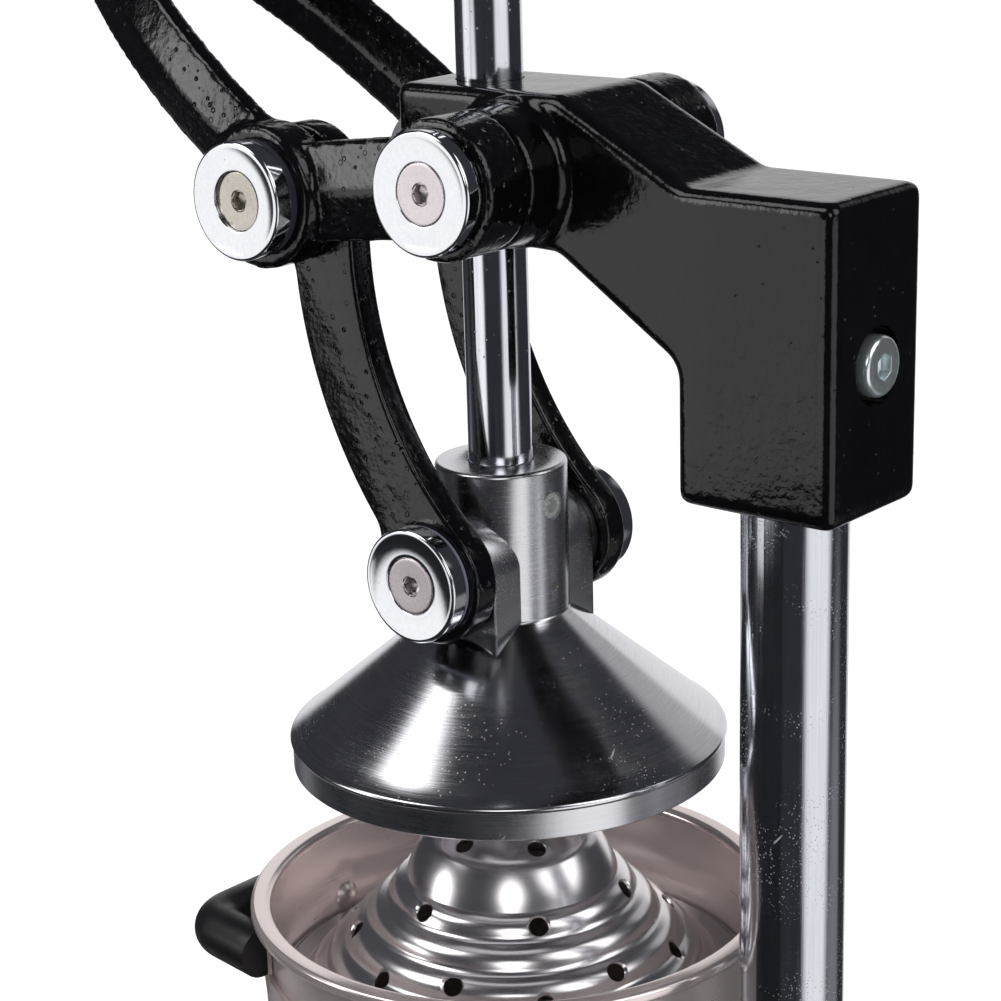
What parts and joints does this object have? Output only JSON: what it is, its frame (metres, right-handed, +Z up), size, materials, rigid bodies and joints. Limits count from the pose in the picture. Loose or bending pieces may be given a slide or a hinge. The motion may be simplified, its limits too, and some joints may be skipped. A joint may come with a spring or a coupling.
{
  "type": "citrus press juicer",
  "caption": "Manual lever citrus press: a cast base and column carry a head whose crank lever and links drive a domed press head down a guide rod into a bowl with a stepped strainer.",
  "frame": {"origin": "middle of the footprint, at the level of the feet", "axes": "+Z up, the lever reaches towards -Y, the column stands at +Y, the pivots lie along X"},
  "size_m": [0.192, 0.4272, 0.5],
  "materials": {
    "black_paint": "gloss paint over casting",
    "chrome": "polished plating",
    "steel": "bright machined",
    "dark_steel": "black oxide",
    "bronze": "plain bearing bronze",
    "nylon": "matt",
    "aluminium": "polished casting",
    "stainless": "satin",
    "black_plastic": "matt",
    "rubber": "matt"
  },
  "bodies": {
    "frame": {"base_casting": "black_paint", "rubber_feet": "rubber", "foot_screws": "steel", "column": "chrome", "column_bolt": "steel", "column_washer": "steel", "head_casting": "black_paint", "guide_bush": "bronze", "head_clamp_screw": "steel", "head_pivot_studs": "steel", "head_pivot_caps": "chrome", "head_pivot_screws": "steel"},
    "lever": {"lever_casting": "black_paint", "lever_grip": "black_plastic", "crank_nylon_washers": "nylon", "crank_caps": "chrome", "crank_screws": "steel", "crank_thrust_washers": "dark_steel", "crank_lock_nuts": "steel"},
    "press": {"press_rod": "chrome", "press_head": "aluminium", "hub_set_screw": "dark_steel", "press_pin": "steel", "press_thrust_washers": "dark_steel", "press_pivot_bushes": "bronze", "press_nylon_washers": "nylon", "press_pivot_caps": "chrome", "press_pivot_screws": "steel"},
    "right_link": {"link_right": "black_paint"},
    "left_link": {"link_left": "black_paint"},
    "bowl_set": {"bowl": "stainless", "bowl_rivets": "stainless", "bowl_strap": "stainless", "bowl_grip": "black_plastic", "strainer": "stainless"}
  },
  "joints": [
    {"name": "lever_pivot", "type": "hinge", "parent": "frame", "child": "lever", "pos_m": [0, 0.09758, 0.3265], "axis": [1, 0, 0], "range_deg": [-20, 34]},
    {"name": "press_slide", "type": "slide", "parent": "frame", "child": "press", "axis": [0, 0, -1], "range_m": [-0.024, 0.0402]},
    {"name": "right_link_pivot", "type": "hinge", "parent": "press", "child": "right_link", "pos_m": [0, 0.07558, 0.21555], "axis": [1, 0, 0], "range_deg": [-5.2, 3.2]},
    {"name": "left_link_pivot", "type": "hinge", "parent": "press", "child": "left_link", "pos_m": [0, 0.07558, 0.21555], "axis": [1, 0, 0], "range_deg": [-5.2, 3.2]},
    {"name": "bowl_slide", "type": "slide", "parent": "frame", "child": "bowl_set", "axis": [0, -1, 0], "range_m": [0, 0.15]}
  ],
  "couplings": [
    {"joint": "press_slide", "follows": "lever_pivot", "m_per_rad": 0.06703},
    {"joint": "right_link_pivot", "follows": "lever_pivot", "ratio": -0.145},
    {"joint": "left_link_pivot", "follows": "lever_pivot", "ratio": -0.145}
  ]
}
